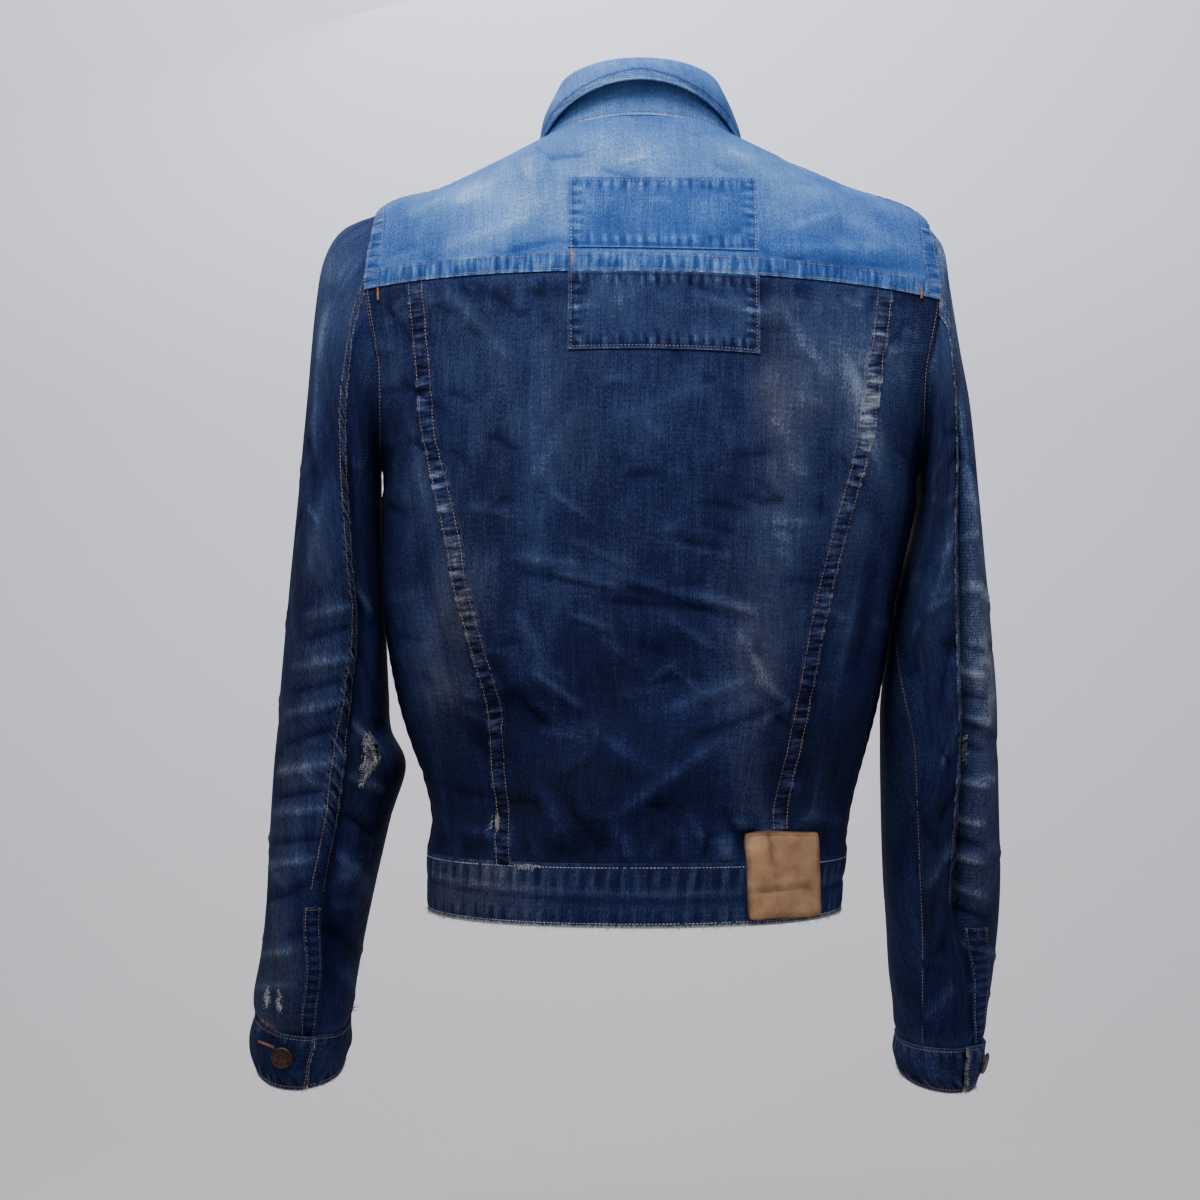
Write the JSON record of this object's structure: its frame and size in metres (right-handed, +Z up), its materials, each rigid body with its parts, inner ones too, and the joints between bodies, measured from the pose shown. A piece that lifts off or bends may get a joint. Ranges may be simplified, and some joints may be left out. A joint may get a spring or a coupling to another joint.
{
  "type": "patched boro jacket",
  "caption": "Worn waist-length denim work jacket with turned-down collar, back yoke, shaped back seams, buttoned cuffs and a plain patch stitched across the yoke seam.",
  "frame": {"origin": "at the base of the neck on the jacket's mid plane, level with where the shoulders carry it", "axes": "+Z up, -Y towards the front of the wearer, +X towards the wearer's left"},
  "size_m": [0.5751, 0.2554, 0.7759],
  "materials": {
    "faded_denim": "washed light blue denim, matte",
    "denim": "washed mid blue denim, matte",
    "leather": "creased tan leather, satin",
    "aged_copper": "darkened copper-plated metal"
  },
  "bodies": {
    "root": {"back_yoke": "faded_denim", "collar_stand": "faded_denim", "collar_fall": "faded_denim", "patch_upper": "faded_denim", "back_panel": "denim", "back_side_left": "denim", "back_side_right": "denim", "front_left": "denim", "front_right": "denim", "button_band": "denim", "buttonhole_band": "denim", "waistband": "denim", "sleeve_upper_left": "denim", "sleeve_upper_right": "denim", "sleeve_under_left": "denim", "sleeve_under_right": "denim", "cuff_left": "denim", "cuff_right": "denim", "placket_left": "denim", "placket_right": "denim", "patch_lower": "denim", "leather_patch": "leather", "cuff_button_left": "aged_copper", "cuff_button_right": "aged_copper", "waist_button": "aged_copper", "front_button_1": "aged_copper", "front_button_2": "aged_copper", "front_button_3": "aged_copper", "front_button_4": "aged_copper", "front_button_5": "aged_copper"}
  },
  "joints": []
}
